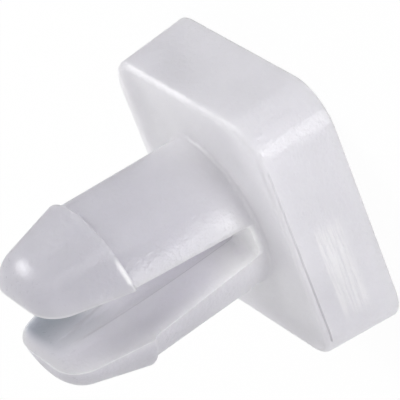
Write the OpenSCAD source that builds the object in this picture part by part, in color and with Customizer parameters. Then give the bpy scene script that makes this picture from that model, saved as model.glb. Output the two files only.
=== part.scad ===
// Plastic split rivet, one moulded piece. It stands on the outer face of its square head: the origin is
// the centre of that face, +Z runs up the shank to the nose, and the slit opens at +X and -X.

/* [Head] */
// Side of the square head, measured at the seating face under it
head_w = 8; // [7:0.1:14]
// Thickness of the head
head_t = 2.45; // [1.6:0.05:6]
// Mould draft: how far each side of the head leans out towards the outer face
head_flare = 0.16; // [0:0.02:0.4]
// Radius of the four upright corners, at the seating face
corner_r = 1.2; // [0.6:0.1:2]
// Rounding of the edge round the seating face
seat_edge_r = 0.22; // [0.05:0.01:0.5]
// Rounding of the edge round the outer face
face_edge_r = 0.08; // [0.03:0.01:0.3]

/* [Shank] */
// Shank diameter where it leaves the head
shank_d = 4.76; // [3.6:0.02:4.9]
// How much wider the shank is at the barb, across the diameter
shank_flare = 0.28; // [0:0.02:0.4]
// Grip: seating face to the underside of the barb
grip = 4.1; // [2.5:0.1:12]
// Fillet between the shank and the seating face
root_r = 0.14; // [0.05:0.01:0.3]

/* [Barbed nose] */
// Diameter over the barb
barb_d = 5.3; // [5.24:0.02:6.5]
// Rounding of the barb's edge
barb_edge_r = 0.09; // [0.04:0.01:0.11]
// Length of the nose, barb to tip
nose_l = 2.55; // [1.8:0.05:4]
// Slope of the nose's sides to the axis, in degrees
nose_slope = 15; // [8:1:18]
// Radius that rounds off the tip
tip_r = 1; // [0.5:0.05:1.1]

/* [Slit and core hole] */
// Height of the slit's floor above the seating face
slit_floor_z = 0.3; // [0.2:0.05:1]
// Width of the slit at its floor
slit_floor_w = 1; // [0.7:0.02:1.4]
// Radius in the two corners of the slit's floor
slit_corner_r = 0.14; // [0.06:0.01:0.25]
// Width of the slit at the barb
slit_barb_w = 1.7; // [1.3:0.02:2.4]
// Width of the slit at the tip
slit_tip_w = 2.08; // [1.3:0.02:2.6]
// Diameter of the core hole that hollows the legs
core_d = 1.96; // [0.8:0.02:2.4]
// Depth of the core hole below the slit's floor
core_depth = 0.5; // [0.1:0.05:1.2]

/* [Hidden] */
$fn = 96;

// Radii and heights that follow from the sizes above
shank_r = shank_d / 2;
neck_r = shank_r + shank_flare / 2;
barb_r = barb_d / 2;
barb_z = head_t + grip;
tip_z = barb_z + nose_l;
corner_at = head_w / 2 - corner_r;
head_lean = atan(head_flare / head_t);
// How far a cut runs past the surface that it opens
past = 1;

// Centre of the circle of radius r that rounds the edge between the head's leaning side and the level z
function edge_centre(z, r) = [corner_r + ((head_t - z) * sin(head_lean) - r) / cos(head_lean), z];

// Where that circle meets the leaning side
function on_side(centre, r) = centre + r * [cos(head_lean), sin(head_lean)];

// Section of the head from a corner's own axis outwards: a leaning side between two rounded edges
module rim_section() {
    seat = edge_centre(head_t - seat_edge_r, seat_edge_r);
    face = edge_centre(face_edge_r, face_edge_r);
    translate(seat) circle(seat_edge_r);
    translate(face) circle(face_edge_r);
    polygon([
        [0, 0],
        [face.x, 0],
        on_side(face, face_edge_r),
        on_side(seat, seat_edge_r),
        [seat.x, head_t],
        [0, head_t]
    ]);
}

// The head: four turned corners, four straight sides between them and the block in the middle
module head() {
    translate([-corner_at, -corner_at, 0]) cube([2 * corner_at, 2 * corner_at, head_t]);
    for (turn = [0:90:270]) rotate(turn) {
        translate([corner_at, corner_at, 0]) rotate_extrude(angle = 90) rim_section();
        translate([corner_at, corner_at, 0]) rotate([90, 0, 0]) linear_extrude(2 * corner_at) rim_section();
    }
}

// Half section of the shank: a fillet at the head, then sides that widen towards the barb
module shank_section() {
    polygon([
        [0, head_t - past],
        [shank_r, head_t - past],
        [shank_r, head_t],
        [neck_r, barb_z + barb_edge_r],
        [0, barb_z + barb_edge_r]
    ]);
    difference() {
        translate([0, head_t - root_r]) square([shank_r + root_r, 2 * root_r]);
        translate([shank_r + root_r, head_t + root_r]) circle(root_r);
    }
}

// Half section of the nose: the barb's rounded edge, a straight slope and a rounded tip
module nose_section() {
    edge_at = [barb_r - barb_edge_r, barb_z + barb_edge_r];
    slope_top = edge_at + barb_edge_r * [cos(nose_slope), sin(nose_slope)];
    round_z = tip_z - tip_r;
    slope_end_z = round_z + tip_r * sin(nose_slope);
    slope_end_r = slope_top.x - (slope_end_z - slope_top.y) * tan(nose_slope);
    round_at = slope_end_r - tip_r * cos(nose_slope);
    translate(edge_at) circle(barb_edge_r);
    translate([round_at, round_z]) intersection() {
        circle(tip_r);
        translate([-round_at, -tip_r]) square(3 * tip_r + round_at);
    }
    polygon([
        [0, barb_z],
        [edge_at.x, barb_z],
        slope_top,
        [slope_end_r, slope_end_z],
        [round_at, tip_z],
        [0, tip_z]
    ]);
}

// Outline of the slit, across Y and up Z: a flat floor with round corners, then sides that open to the barb and
// to the tip
module slit_outline() {
    floor_z = head_t + slit_floor_z;
    opening = atan((slit_barb_w - slit_floor_w) / 2 / (barb_z - floor_z));
    corner = [slit_floor_w / 2 - slit_corner_r * (1 - sin(opening)) / cos(opening), floor_z + slit_corner_r];
    side = corner + slit_corner_r * [cos(opening), -sin(opening)];
    for (way = [-1, 1]) translate([way * corner.x, corner.y]) circle(slit_corner_r);
    polygon([
        [-corner.x, floor_z],
        [corner.x, floor_z],
        side,
        [slit_barb_w / 2, barb_z],
        [slit_tip_w / 2, tip_z],
        [slit_tip_w / 2, tip_z + past],
        [-slit_tip_w / 2, tip_z + past],
        [-slit_tip_w / 2, tip_z],
        [-slit_barb_w / 2, barb_z],
        [-side.x, side.y]
    ]);
}

// The shank with its nose, split into two legs
module split_shank() {
    difference() {
        rotate_extrude() {
            shank_section();
            nose_section();
        }
        rotate([90, 0, 90]) translate([0, 0, -barb_r - past]) linear_extrude(2 * (barb_r + past)) slit_outline();
        translate([0, 0, head_t + slit_floor_z - core_depth]) cylinder(d = core_d, h = tip_z);
    }
}

module rivet_body() {
    color("gainsboro") {
        head();
        split_shank();
    }
}

rivet_body();
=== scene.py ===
# %% [markdown]
# # A plastic split rivet
# The real rivet is one piece of natural nylon, a pale and slightly see-through plastic. It has a thick square
# head, a round shank that is split into two legs, and a barb with a bullet-shaped nose. The legs close as the
# nose is pushed through a hole, and spring open behind the panel. This lesson makes a finished picture of it:
# first the shape, then the plastic, the floor, the light and the camera.

import math

import bmesh
import bpy
from mathutils import Matrix, Vector


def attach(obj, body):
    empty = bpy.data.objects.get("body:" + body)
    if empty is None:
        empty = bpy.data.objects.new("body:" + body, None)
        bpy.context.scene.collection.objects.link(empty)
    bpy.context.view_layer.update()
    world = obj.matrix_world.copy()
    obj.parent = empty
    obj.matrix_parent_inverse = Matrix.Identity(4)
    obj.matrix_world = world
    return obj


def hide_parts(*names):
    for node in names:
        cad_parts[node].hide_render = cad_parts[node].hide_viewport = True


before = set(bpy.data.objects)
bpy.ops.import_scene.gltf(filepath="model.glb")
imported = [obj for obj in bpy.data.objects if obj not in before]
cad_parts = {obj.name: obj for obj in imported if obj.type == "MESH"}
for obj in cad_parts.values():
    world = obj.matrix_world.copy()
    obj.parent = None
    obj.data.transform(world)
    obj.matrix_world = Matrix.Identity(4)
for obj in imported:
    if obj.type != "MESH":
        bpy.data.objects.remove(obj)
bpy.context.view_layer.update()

# %% [markdown]
# ## Helpers for building in millimetres
# A bmesh is a mesh that Python can cut and stretch with the same operators as the editor. The rivet is built
# in millimetres, because Blender's boolean works best with shapes about as big as 1, and the finished mesh is
# brought down to metres at the end. One helper makes an object of a bmesh, one applies an object's modifiers
# and one cuts a shape away.

# %% Helpers
MM = 0.001


def to_object(name, bm):
    """Makes an object of a bmesh."""
    mesh = bpy.data.meshes.new(name)
    bm.to_mesh(mesh)
    bm.free()
    made = bpy.data.objects.new(name, mesh)
    bpy.context.scene.collection.objects.link(made)
    return made


def apply_modifiers(target):
    """Turns what the modifiers make into the object's own mesh."""
    depsgraph = bpy.context.evaluated_depsgraph_get()
    mesh = bpy.data.meshes.new_from_object(target.evaluated_get(depsgraph))
    target.modifiers.clear()
    target.data = mesh


def cut_away(target, cutter):
    """Takes the cutter's shape out of the target, then removes the cutter."""
    cut = target.modifiers.new("cut", "BOOLEAN")
    cut.operation = "DIFFERENCE"
    cut.solver = "EXACT"
    cut.object = cutter
    apply_modifiers(target)
    bpy.data.objects.remove(cutter)
    print(f"cut {target.name}: {len(target.data.polygons)} faces")


# %% [markdown]
# ## The head
# The head is a square block with well-rounded upright corners. Its sides lean out a little towards the outer
# face, the draft that lets a moulding leave its mould. A cube gets its four upright edges bevelled, the rim of
# its outer face is pushed out by the draft, and then both rims are bevelled: a soft one round the seating face
# and a tight one round the outer face. Every side is cut into as many strips as a corner, so that the outline
# has 96 points, the same number as the shank that will join it.

# %% The head
HEAD_SIDE = 8.0
HEAD_THICK = 2.45
HEAD_FLARE = 0.16
CORNER_RADIUS = 1.2
SEAT_EDGE = 0.22
FACE_EDGE = 0.08
AROUND = 96
CORNER_STEPS = AROUND // 8


def edges_where(bm, test):
    """The edges whose two ends both pass a test."""
    return [e for e in bm.edges if all(test(v.co) for v in e.verts)]


def bevel(bm, edges, width, steps):
    """Rounds edges with the editor's own circular profile."""
    return bmesh.ops.bevel(
        bm,
        geom=edges,
        offset=width,
        offset_type="OFFSET",
        affect="EDGES",
        segments=steps,
        profile=0.5,
        material=-1,
        clamp_overlap=True,
    )


head = bmesh.new()
bmesh.ops.create_cube(head, size=1)
bmesh.ops.scale(head, verts=head.verts, vec=(HEAD_SIDE, HEAD_SIDE, HEAD_THICK))
bmesh.ops.translate(head, verts=head.verts, vec=(0, 0, HEAD_THICK / 2))
upright = [e for e in head.edges if abs(e.verts[0].co.z - e.verts[1].co.z) > 1]
bevel(head, upright, CORNER_RADIUS, CORNER_STEPS)
corner_at = HEAD_SIDE / 2 - CORNER_RADIUS
sides = [
    e
    for e in head.edges
    if (e.verts[0].co - e.verts[1].co).length > corner_at
    and abs(e.verts[0].co.z - e.verts[1].co.z) < 0.01
]
bmesh.ops.subdivide_edges(head, edges=sides, cuts=CORNER_STEPS - 1, use_grid_fill=True)
for v in head.verts:
    if v.co.z < 0.01:
        out = Vector((v.co.x, v.co.y))
        core = Vector((max(-corner_at, min(corner_at, out.x)), max(-corner_at, min(corner_at, out.y))))
        lean = (out - core).normalized() * HEAD_FLARE
        v.co.x += lean.x
        v.co.y += lean.y
print("head:", len(head.verts), "points,", len(head.faces), "faces")
top_rim = edges_where(head, lambda p: p.z > HEAD_THICK - 0.01)
bevel(head, top_rim, SEAT_EDGE, steps=10)
foot_rim = edges_where(head, lambda p: p.z < 0.01)
bevel(head, foot_rim, FACE_EDGE, steps=6)
print("rounded head:", len(head.verts), "points,", len(head.faces), "faces")

# %% [markdown]
# ## The shank and the nose
# Both are round, so half of their outline is drawn once and spun about Z. The outline is a chain of corners,
# and each corner is rounded by a bevel of that vertex: a fillet at the head, the edge of the barb and the tip.
# The shank widens a little towards the barb, which holds the rivet in its hole.

# %% The outline, as corners and their radii
SHANK_RADIUS = 2.38
NECK_RADIUS = 2.52
GRIP = 4.1
ROOT_FILLET = 0.14
BARB_RADIUS = 2.65
BARB_EDGE = 0.09
NOSE_LENGTH = 2.55
NOSE_SLOPE = math.radians(15)
TIP_ROUND = 1.0
SEAT_RING = 0.03
LEAST_STEPS = 9
STEPS_PER_MM = 14
barb_z = HEAD_THICK + GRIP
tip_z = barb_z + NOSE_LENGTH
# The slope of the nose touches the rounded edge of the barb: these two places are where it would start and end
lean_back = BARB_EDGE * (1 / math.cos(NOSE_SLOPE) + math.tan(NOSE_SLOPE) - 1)
slope_foot = BARB_RADIUS + lean_back
slope_top = slope_foot - NOSE_LENGTH * math.tan(NOSE_SLOPE)
# The outline starts with a narrow ring on the seating face, outside the fillet
outline = [
    (SHANK_RADIUS + ROOT_FILLET + SEAT_RING, HEAD_THICK, 0),
    (SHANK_RADIUS, HEAD_THICK, ROOT_FILLET),
    (NECK_RADIUS, barb_z, 0),
    (slope_foot, barb_z, BARB_EDGE),
    (slope_top, tip_z, TIP_ROUND),
    (0, tip_z, 0),
]

# %% Round the corners and spin the outline
shaft = bmesh.new()
chain = [shaft.verts.new((r, 0, z)) for r, z, _ in outline]
for a, b in zip(chain, chain[1:]):
    shaft.edges.new((a, b))
for corner, (_, _, radius) in zip(chain, outline):
    if not radius:
        continue
    back, ahead = [(e.other_vert(corner).co - corner.co).normalized() for e in corner.link_edges]
    turn = math.pi - back.angle(ahead)
    bmesh.ops.bevel(
        shaft,
        geom=[corner],
        offset=radius * math.tan(turn / 2),
        offset_type="OFFSET",
        affect="VERTICES",
        segments=max(LEAST_STEPS, round(radius * STEPS_PER_MM)),
        profile=0.5,
        material=-1,
    )
bmesh.ops.spin(
    shaft,
    geom=shaft.verts[:] + shaft.edges[:],
    cent=(0, 0, 0),
    axis=(0, 0, 1),
    angle=math.tau,
    steps=AROUND,
    use_merge=True,
    use_duplicate=False,
)
bmesh.ops.remove_doubles(shaft, verts=shaft.verts, dist=1e-4)
print("shank and nose:", len(shaft.verts), "points,", len(shaft.faces), "faces")

# %% [markdown]
# ## One body
# The moulding has no joint between head and shank, so the two meshes become one skin. The flat top of the head
# is removed and its rim is bridged to the ring at the foot of the shank: both have 96 points, so the bridge is
# 96 clean quads.

# %% Join the head and the shank
seat = max(head.faces, key=lambda f: f.calc_area() * (f.normal.z > 0.9))
bmesh.ops.delete(head, geom=[seat], context="FACES_ONLY")
shaft_mesh = bpy.data.meshes.new("shaft")
shaft.to_mesh(shaft_mesh)
shaft.free()
head.from_mesh(shaft_mesh)
bpy.data.meshes.remove(shaft_mesh)
open_rims = [e for e in head.edges if e.is_boundary]
bmesh.ops.bridge_loops(head, edges=open_rims)
bmesh.ops.recalc_face_normals(head, faces=head.faces)
loose = [e for e in head.edges if not e.is_manifold]
print("one skin:", len(head.faces), "faces,", len(loose), "open edges")
print("volume, mm3:", round(head.calc_volume(), 1))
rivet = to_object("nylon_rivet", head)

# %% [markdown]
# ## The slit and the core hole
# Two cutters open the shank. The slit is a wedge with a flat floor: wider at the barb and wider still at the
# tip. The core hole is a round pin that hollows both legs, so that they bend easily, and goes a little deeper
# than the slit's floor. The wedge starts as a cube that is cut level with the barb, its upper corners move out
# to the slit's widths, and the two edges of its floor are rounded.

# %% Cut the slit and the core hole
SLIT_FLOOR_Z = 0.3
SLIT_FLOOR_WIDTH = 1.0
SLIT_CORNER_RADIUS = 0.14
SLIT_BARB_WIDTH = 1.7
SLIT_TIP_WIDTH = 2.08
CORE_WIDTH = 1.96
CORE_DEPTH = 0.5
CORE_STEPS = 72
PAST_TIP = 1.0

wedge = bmesh.new()
bmesh.ops.create_cube(wedge, size=1)
levels = {-0.5: (HEAD_THICK + SLIT_FLOOR_Z, SLIT_FLOOR_WIDTH), 0.5: (tip_z, SLIT_TIP_WIDTH)}
for v in wedge.verts:
    z, width = levels[v.co.z]
    v.co = (v.co.x * 4 * BARB_RADIUS, v.co.y * width, z)
bmesh.ops.bisect_plane(
    wedge,
    geom=wedge.verts[:] + wedge.edges[:] + wedge.faces[:],
    dist=1e-5,
    plane_co=(0, 0, barb_z),
    plane_no=(0, 0, 1),
)
for v in wedge.verts:
    if abs(v.co.z - barb_z) < 1e-4:
        v.co.y = math.copysign(SLIT_BARB_WIDTH / 2, v.co.y)
    elif v.co.z > barb_z:
        v.co.z += PAST_TIP
floor_edges = [
    e
    for e in wedge.edges
    if all(v.co.z < barb_z - 1 for v in e.verts) and abs(e.verts[0].co.x - e.verts[1].co.x) > 1
]
bevel(wedge, floor_edges, SLIT_CORNER_RADIUS, steps=8)
bmesh.ops.recalc_face_normals(wedge, faces=wedge.faces)
cut_away(rivet, to_object("slit", wedge))

core = bmesh.new()
core_foot = HEAD_THICK + SLIT_FLOOR_Z - CORE_DEPTH
depth = tip_z - core_foot
bmesh.ops.create_cone(
    core, cap_ends=True, segments=CORE_STEPS, radius1=CORE_WIDTH / 2, radius2=CORE_WIDTH / 2, depth=depth
)
bmesh.ops.translate(core, verts=core.verts, vec=(0, 0, core_foot + depth / 2))
cut_away(rivet, to_object("core_hole", core))

# %% [markdown]
# ## Soft edges
# No moulded edge is knife-sharp. The edges that turn by more than 17 degrees, which are the ones that the
# cutters left, get a round of a few hundredths of a millimetre, enough to catch a thin line of light. The mesh
# is shaded smooth, and its normals are weighted by the area of the faces, so that flat faces stay flat right up
# to these narrow rounds.

# %% Round the cut edges and bring the mesh down to metres
CUT_EDGE = 0.03
SHARPER_THAN = math.radians(17)
SAME_POINT = 0.004
merge = rivet.modifiers.new("merge", "WELD")
merge.merge_threshold = SAME_POINT
ease = rivet.modifiers.new("ease", "BEVEL")
ease.limit_method = "ANGLE"
ease.angle_limit = SHARPER_THAN
ease.width = CUT_EDGE
ease.segments = 3
ease.use_clamp_overlap = True
apply_modifiers(rivet)
rivet.data.shade_smooth()
even = rivet.modifiers.new("even", "WEIGHTED_NORMAL")
even.mode = "FACE_AREA"
even.weight = 50
even.keep_sharp = False
apply_modifiers(rivet)
rivet.data.transform(Matrix.Scale(MM, 4))
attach(rivet, "root")
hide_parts("rivet_body")
print("finished rivet:", len(rivet.data.polygons), "faces")

# %% [markdown]
# ## Nodes from Python
# A material is a graph of nodes. `Value` wraps one socket of it and lets Python's own operators add Math nodes,
# so that a mask can be written as a formula: `between` is a smooth step, and `window` is a step up and a step
# down. `Value.node` adds any other node: its settings go in first, then the values or links of its sockets, by
# name or, as in i0 and i1, by number.

# %% A small class for shader maths


class Value:
    """One output socket, with arithmetic."""

    def __init__(self, tree, socket):
        self.tree = tree
        self.socket = socket

    def node(self, kind, settings=None, out=0, **inputs):
        """Adds a node and returns one of its outputs."""
        made = self.tree.nodes.new(kind)
        for key, value in (settings or {}).items():
            setattr(made, key, value)
        for key, value in inputs.items():
            entry = int(key[1:]) if key[0] == "i" and key[1:].isdigit() else key.replace("_", " ")
            if isinstance(value, Value):
                self.tree.links.new(value.socket, made.inputs[entry])
            else:
                made.inputs[entry].default_value = value
        return Value(self.tree, made.outputs[out]) if made.outputs else None

    def maths(self, operation, *others):
        """Adds a Math node on this value and others."""
        rest = {f"i{n}": other for n, other in enumerate(others, 1)}
        return self.node("ShaderNodeMath", {"operation": operation}, i0=self, **rest)

    def __add__(self, other):
        return self.maths("ADD", other)

    def __radd__(self, other):
        return self.maths("ADD", other)

    def __sub__(self, other):
        return self.maths("SUBTRACT", other)

    def __rsub__(self, other):
        return self.node("ShaderNodeMath", {"operation": "SUBTRACT"}, i0=other, i1=self)

    def __mul__(self, other):
        return self.maths("MULTIPLY", other)

    def __rmul__(self, other):
        return self.maths("MULTIPLY", other)

    def between(self, low, high):
        """0 below low, 1 above high and a smooth ramp between them."""
        return self.node(
            "ShaderNodeMapRange",
            {"interpolation_type": "SMOOTHSTEP", "clamp": True},
            Value=self,
            From_Min=low,
            From_Max=high,
        )

    def window(self, start, full, fade, end):
        """0 up to start, 1 from full to fade, and 0 again from end."""
        return self.between(start, full) * (1 - self.between(fade, end))


def strongest(first, *others):
    """The highest of some values."""
    for other in others:
        first = first.maths("MAXIMUM", other)
    return first


# %% [markdown]
# ## Places on the rivet
# The plastic doesn't look the same everywhere. A mask is a formula that is 1 in one place of the rivet, 0
# elsewhere and something between at its rim. Object coordinates are in metres, so they are multiplied by 1000
# first, and every number below reads in millimetres: `across` is X, `along` is Y and `height` is Z. The masks
# pick out the inner faces of the legs and some lines and patches on the skin. Most of these places carry light
# or shade painted into the colour; the drag lines on the head are marks that moulding left.

# %% Start the material and its coordinates
nylon = bpy.data.materials.new("natural_nylon")
nylon.use_nodes = True
tree = nylon.node_tree
tree.nodes.clear()
start = Value(tree, None)
place = start.node("ShaderNodeTexCoord", out=3)
place_mm = place.node("ShaderNodeVectorMath", {"operation": "SCALE"}, i0=place, Scale=1000.0)
across = place.node("ShaderNodeSeparateXYZ", out=0, Vector=place_mm)
along = place.node("ShaderNodeSeparateXYZ", out=1, Vector=place_mm)
height = place.node("ShaderNodeSeparateXYZ", out=2, Vector=place_mm)
side = along.maths("ABSOLUTE")
radius = (across * across + side * side).maths("SQRT")
# 1 in the thick head, fading to 0 up the shank
thick = 1 - height.between(2.2, 6.0)

# %% Masks for the inside of the slit
# Half the slit's width at every height
floor_z = HEAD_THICK + SLIT_FLOOR_Z
to_barb = (SLIT_BARB_WIDTH - SLIT_FLOOR_WIDTH) / 2 / (barb_z - floor_z)
to_tip = (SLIT_TIP_WIDTH - SLIT_BARB_WIDTH) / 2 / NOSE_LENGTH
lower = height.maths("MINIMUM", barb_z)
wall = SLIT_FLOOR_WIDTH / 2 + to_barb * (lower - floor_z) + to_tip * (height - lower)
# The inner faces lie no farther than that from the middle, or no farther out than the core hole's wall
core_radius = CORE_WIDTH / 2
in_slit = 1 - (side - wall).between(-0.01, 0.03)
in_hole = 1 - radius.between(core_radius, core_radius + 0.04)
inner = strongest(in_slit, in_hole) * height.between(floor_z - 0.2, floor_z - 0.05)
# Painted light: the slit's closed end is paler, fading out up the legs
root = 1 - height.between(3.0, 7.5)
# Painted shade: the wall of the core hole is a little darker, fading out in the nose
hollow = in_hole * (1 - height.between(6.8, 7.6))
# Painted shadow, the darkest place: inside the nose of the -Y leg, on its -X half
nose_shadow = (1 - across.between(-1.3, 1.1)) * (1 - along.between(-0.3, 0.3))
nose_shadow = nose_shadow * height.window(6.2, 7.7, 8.5, 9.0)
# Painted shade: a dark line along the crease where the core hole breaks into the slit
at_hole = radius.window(core_radius - 0.04, core_radius - 0.01, core_radius + 0.01, core_radius + 0.04)
crease = in_slit * at_hole * (1 - height.between(7.6, 8.2))

# %% Masks for the marks on the skin, and for painted highlights and light
# Fine lines along Y where the mould dragged on the +X side of the head
stretched = place.node("ShaderNodeVectorMath", {"operation": "MULTIPLY"}, i0=place_mm, i1=(0.0, 0.6, 11.0))
drag = place.node("ShaderNodeTexNoise", Vector=stretched, Scale=1.0, Detail=3.0, Roughness=0.6)
scraped = across.between(3.9, 3.95) * along.window(-3.0, -2.4, 0.0, 0.5)
marks = scraped * height.window(0.7, 1.0, 1.66, 1.74) * drag.between(0.3, 0.6)
# Two lines round the seating face: a painted highlight over the +Y side, and a dark line over the +X side
seat_edge_highlight = along.window(3.84, 3.88, 3.98, 4.01) * height.between(2.3, 2.33)
seat_edge_highlight = seat_edge_highlight * across.window(-3.2, -2.6, 0.2, 1.0)
edge_line = across.between(3.88, 3.92) * height.window(2.25, 2.28, 2.31, 2.34)
# The dark line is stronger towards -Y
edge_line = edge_line * (1 - along.between(2.6, 2.9)) * (0.65 - 0.09 * along)
# Painted highlight: a pale line on the barb's rounded edge, over a short arc
barb_highlight = height.window(6.51, 6.55, 6.68, 6.74) * radius.between(2.52, 2.56)
barb_highlight = barb_highlight * (along - 0.42 * across).between(0, 0.12) * (0.95 * across - along).between(0, 0.45)
# Painted light: the -X edge of the seating face is paler, where light collects in the plastic
glow = (1 - across.between(-3.8, -3.1)) * height.between(2.2, 2.4)
# Painted light: the foot of the shank is paler too, where light collects
foot = height.window(2.4, 2.5, 2.7, 3.8)
# Painted shade: the outside of the -Y leg is a little darker
shaded = 1 - along.between(-2.2, -0.9)

# %% [markdown]
# ## Natural nylon
# Nylon without pigment is milky: some light scatters just under its skin and comes out again, and some goes
# straight on into the body, so edges on the far side show through. Two shaders do that, mixed by place: one
# scatters light in a random walk under the surface, and the other bends and passes it. The clear one has 40% of
# the head and 45% of the legs. It has less of the inner faces and the lines, so that the light, shade and lines
# painted there show. The milk's colour carries painted light and shade: it is paler on the head and near the
# slit's floor than on the legs, darker in a few places inside the slit, and soft clouds vary it a little.
# The skin is smooth but not polished, with a fine grain that breaks the highlights into specks.

# %% The milk's colour
HEAD_COLOUR = (0.77, 0.76, 0.80, 1)
LEG_COLOUR = (0.62, 0.61, 0.66, 1)
SHADE_COLOUR = (0.54, 0.53, 0.58, 1)
# Painted light at the slit's closed end
ROOT_LIGHT_COLOUR = (0.97, 0.96, 1.0, 1)
# Painted light: the legs' inner faces are paler than their outsides, lifting the shade inside the slit
INNER_LIGHT_COLOUR = (0.84, 0.83, 0.87, 1)
# Painted shade on the core hole's wall
HOLE_SHADE_COLOUR = (0.68, 0.67, 0.71, 1)
# Painted shadow inside the nose of the -Y leg
NOSE_SHADOW_COLOUR = (0.30, 0.32, 0.36, 1)
# Pale for the drag lines, and for painted highlights and light
PALE_COLOUR = (0.98, 0.97, 0.98, 1)
# Dark for the line on the +X edge, and for the crease's painted shade
LINE_COLOUR = (0.34, 0.33, 0.36, 1)
CLOUD_COLOUR = (0.95, 0.95, 0.95, 1)


def blend(share, first, second, way="MIX"):
    """Mixes two colours, each a value or four numbers."""
    settings = {"data_type": "RGBA", "blend_type": way}
    return place.node("ShaderNodeMix", settings, out=2, i0=share, i6=first, i7=second)


# Painted light: the thick head and the shank near it are paler than the legs
outside = blend(thick, blend(shaded, LEG_COLOUR, SHADE_COLOUR), HEAD_COLOUR)
outside = blend(foot * 0.35, outside, PALE_COLOUR)
# Painted light and shade inside the slit: paler inner faces, paler still at the closed end, darker on the core
# hole's wall
inside = blend(hollow * 0.25, blend(root, INNER_LIGHT_COLOUR, ROOT_LIGHT_COLOUR), HOLE_SHADE_COLOUR)
base = blend(inner, outside, blend(nose_shadow, inside, NOSE_SHADOW_COLOUR))
# How far each mark turns the colour under it: the pale ones first, drag lines and painted highlights and light,
# then the dark ones, a dark line and the crease's painted shade
base = blend(strongest(marks * 0.65, seat_edge_highlight * 0.12, glow * 0.5, barb_highlight * 0.6), base, PALE_COLOUR)
base = blend(strongest(edge_line, crease * 0.4), base, LINE_COLOUR)
cloud = place.node("ShaderNodeTexNoise", Vector=place_mm, Scale=0.45, Detail=3.0, Roughness=0.55)
colour = blend(cloud.between(0.35, 0.65), base, CLOUD_COLOUR, "MULTIPLY")

# %% The skin and the two shaders
CLEAR_COLOUR = (0.80, 0.79, 0.83, 1)
HEAD_CLEAR = 0.4
LEG_CLEAR = 0.45
NYLON_IOR = 1.53
GRAIN_DEPTH = 0.04 * MM
SCATTER_LENGTH = 0.8 * MM
grain = place.node("ShaderNodeTexNoise", Vector=place_mm, Scale=7.0, Detail=2.0, Roughness=0.6)
# The tip is the smoothest part and the head the roughest, most of all on the +Y edge of the seating face
tip = height.between(7.2, 8.4)
head_skin = 1 - height.between(2.3, 2.5)
rubbed = along.between(3.7, 3.85) * height.between(2.2, 2.26)
rough = 0.30 + 0.07 * head_skin + 0.16 * rubbed - 0.06 * tip + 0.10 * grain + 0.1 * marks
relief = grain * (1 - 0.6 * tip) + 0.6 * drag * marks
bump = place.node("ShaderNodeBump", Height=relief, Strength=0.7, Distance=GRAIN_DEPTH)
milk = place.node(
    "ShaderNodeBsdfPrincipled",
    Base_Color=colour,
    Roughness=rough,
    Normal=bump,
    IOR=NYLON_IOR,
    Subsurface_Weight=1.0,
    Subsurface_Radius=(1.0, 0.98, 1.0),
    Subsurface_Scale=SCATTER_LENGTH,
)
clear = place.node(
    "ShaderNodeBsdfPrincipled",
    Base_Color=CLEAR_COLOUR,
    Roughness=0.3,
    Normal=bump,
    IOR=NYLON_IOR,
    Transmission_Weight=1.0,
)
clear_share = LEG_CLEAR + (HEAD_CLEAR - LEG_CLEAR) * thick
clear_share = clear_share * (1 - 0.8 * nose_shadow * inner) * (1 - 0.9 * root * inner)
clear_share = clear_share * (1 - edge_line) * (1 - 0.4 * seat_edge_highlight) * (1 - 0.5 * barb_highlight) * (1 - 0.3 * glow)
body = place.node("ShaderNodeMixShader", i0=clear_share, i1=milk, i2=clear)
place.node("ShaderNodeOutputMaterial", Surface=body)
rivet.data.materials.clear()
rivet.data.materials.append(nylon)
print("nylon:", len(tree.nodes), "nodes")

# %% [markdown]
# ## Floor and white surround
# The rivet stands on its head on a pale floor. The camera sees floor and surround as white, while the floor
# still takes the rivet's soft shadow: most of its shade is a plain white, and the rest is a matt white that the
# lamps light. It is a light table, so lamps below it can shine through.

# %% Floor
CAMERA_RAY, GLOSSY_RAY, TRANSMISSION_RAY = 0, 3, 6
PLAIN_WHITE_SHARE = 0.94


def ray_is(tree_start, kind):
    """1 for rays of one kind, counted as the outputs of the Light Path node."""
    return tree_start.node("ShaderNodeLightPath", out=kind)


table_top = bmesh.new()
bmesh.ops.create_grid(table_top, x_segments=1, y_segments=1, size=2.0)
floor = to_object("floor", table_top)
paper = bpy.data.materials.new("paper")
paper.use_nodes = True
paper_tree = paper.node_tree
paper_tree.nodes.clear()
begin = Value(paper_tree, None)
seen = strongest(ray_is(begin, CAMERA_RAY), ray_is(begin, TRANSMISSION_RAY))
matt = begin.node("ShaderNodeBsdfDiffuse", Color=(0.85, 0.85, 0.85, 1))
white = begin.node("ShaderNodeEmission", Color=(1, 1, 1, 1), Strength=1.0)
both = begin.node("ShaderNodeMixShader", i0=seen * PLAIN_WHITE_SHARE, i1=matt, i2=white)
begin.node("ShaderNodeOutputMaterial", Surface=both)
floor.data.materials.append(paper)
floor.visible_glossy = False
floor.visible_shadow = False
print("floor:", len(floor.data.polygons), "face, most of it plain white")

# %% [markdown]
# ## The room
# The room lights the rivet from all sides, so nothing on it is black. White plastic in a white room would lose
# its outline, so the room is a little below white for every ray but those that the camera sees straight or
# through the plastic. One zone of it, low on the -X side, is dimmer still, most of all in reflections: the
# nose and the inside of the legs mirror it, and take their greyer tones from it.

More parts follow.
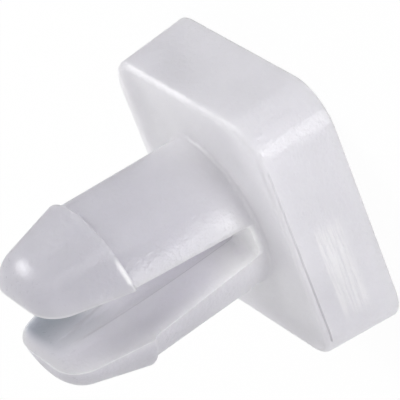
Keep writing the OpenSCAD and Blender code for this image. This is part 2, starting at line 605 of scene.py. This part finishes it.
# %% Surround
ROOM_LIGHT = 0.90
DIM_TOWARD = (-0.86, 0.40, -0.30)
surround = bpy.data.worlds.new("surround")
bpy.context.scene.world = surround
surround.use_nodes = True
sky_tree = surround.node_tree
sky_tree.nodes.clear()
sky = Value(sky_tree, None)
toward = sky.node("ShaderNodeTexCoord", out=0)
facing = sky.node("ShaderNodeVectorMath", {"operation": "DOT_PRODUCT"}, out=1, i0=toward, i1=DIM_TOWARD)
dim = facing.between(0.55, 0.95) * (0.25 + 0.45 * ray_is(sky, GLOSSY_RAY))
room = sky.node("ShaderNodeBackground", Color=(1, 1, 1, 1), Strength=ROOM_LIGHT - dim)
bright = sky.node("ShaderNodeBackground", Color=(1, 1, 1, 1), Strength=1.0)
plain = strongest(ray_is(sky, CAMERA_RAY), ray_is(sky, TRANSMISSION_RAY))
shown = sky.node("ShaderNodeMixShader", i0=plain, i1=room, i2=bright)
sky.node("ShaderNodeOutputWorld", Surface=shown)
print("surround:", len(sky_tree.nodes), "nodes")

# %% [markdown]
# ## Lamps
# Three soft panels. Each is placed by the direction it comes from, as an azimuth round the rivet and an
# elevation, and turned to face it. The key comes from below, through the light table, and draws the streak on
# the head's corner and the band on the shank. The rim lamp lights the +Y side of the head, and draws the line
# on that edge of the seating face and the bright spot on the nose. The top lamp is a faint fill.

# %% Lamps
MIDDLE = Vector((0, 0, 4.5 * MM))


def direction(azimuth, elevation):
    """A unit vector from the rivet, with both angles in degrees."""
    a, e = math.radians(azimuth), math.radians(elevation)
    return Vector((math.cos(e) * math.cos(a), math.cos(e) * math.sin(a), math.sin(e)))


def panel(name, azimuth, elevation, distance, size, power):
    """A square soft lamp that faces the rivet."""
    data = bpy.data.lights.new(name, "AREA")
    data.size = size
    data.energy = power
    lamp = bpy.data.objects.new(name, data)
    bpy.context.scene.collection.objects.link(lamp)
    away = direction(azimuth, elevation)
    lamp.location = MIDDLE + away * distance
    lamp.rotation_euler = away.to_track_quat("Z", "Y").to_euler()
    print(f"{name}: {power} W from azimuth {azimuth}, elevation {elevation}")


panel("key", azimuth=13, elevation=-17, distance=0.15, size=0.045, power=0.095)
panel("top", azimuth=40, elevation=60, distance=0.20, size=0.15, power=0.012)
panel("rim", azimuth=140, elevation=28, distance=0.15, size=0.06, power=0.095)

# %% [markdown]
# ## Camera
# A long lens from 110 mm away. The camera looks a little down on the rivet from the corner between +X and +Y,
# and is rolled well over, so that the rivet seems to lie on its side.

# %% Camera
AIM = Vector((-0.0009643, -0.0000025, 0.0025551))
CAMERA_AZIMUTH = 32.683
CAMERA_ELEVATION = 17.650
CAMERA_ROLL = -122.823
CAMERA_DISTANCE = 0.11
LENS = 345.07
lens = bpy.data.cameras.new("camera")
lens.lens = LENS
lens.sensor_width = 36
lens.clip_start = 0.01
lens.clip_end = 10
camera = bpy.data.objects.new("camera", lens)
bpy.context.scene.collection.objects.link(camera)
back = direction(CAMERA_AZIMUTH, CAMERA_ELEVATION)
turn = back.to_track_quat("Z", "Y").to_matrix() @ Matrix.Rotation(math.radians(CAMERA_ROLL), 3, "Z")
camera.matrix_world = Matrix.Translation(AIM + back * CAMERA_DISTANCE) @ turn.to_4x4()
bpy.context.scene.camera = camera
bpy.context.scene.view_settings.view_transform = "Standard"
print("camera:", LENS, "mm lens,", round(1000 * CAMERA_DISTANCE), "mm away")
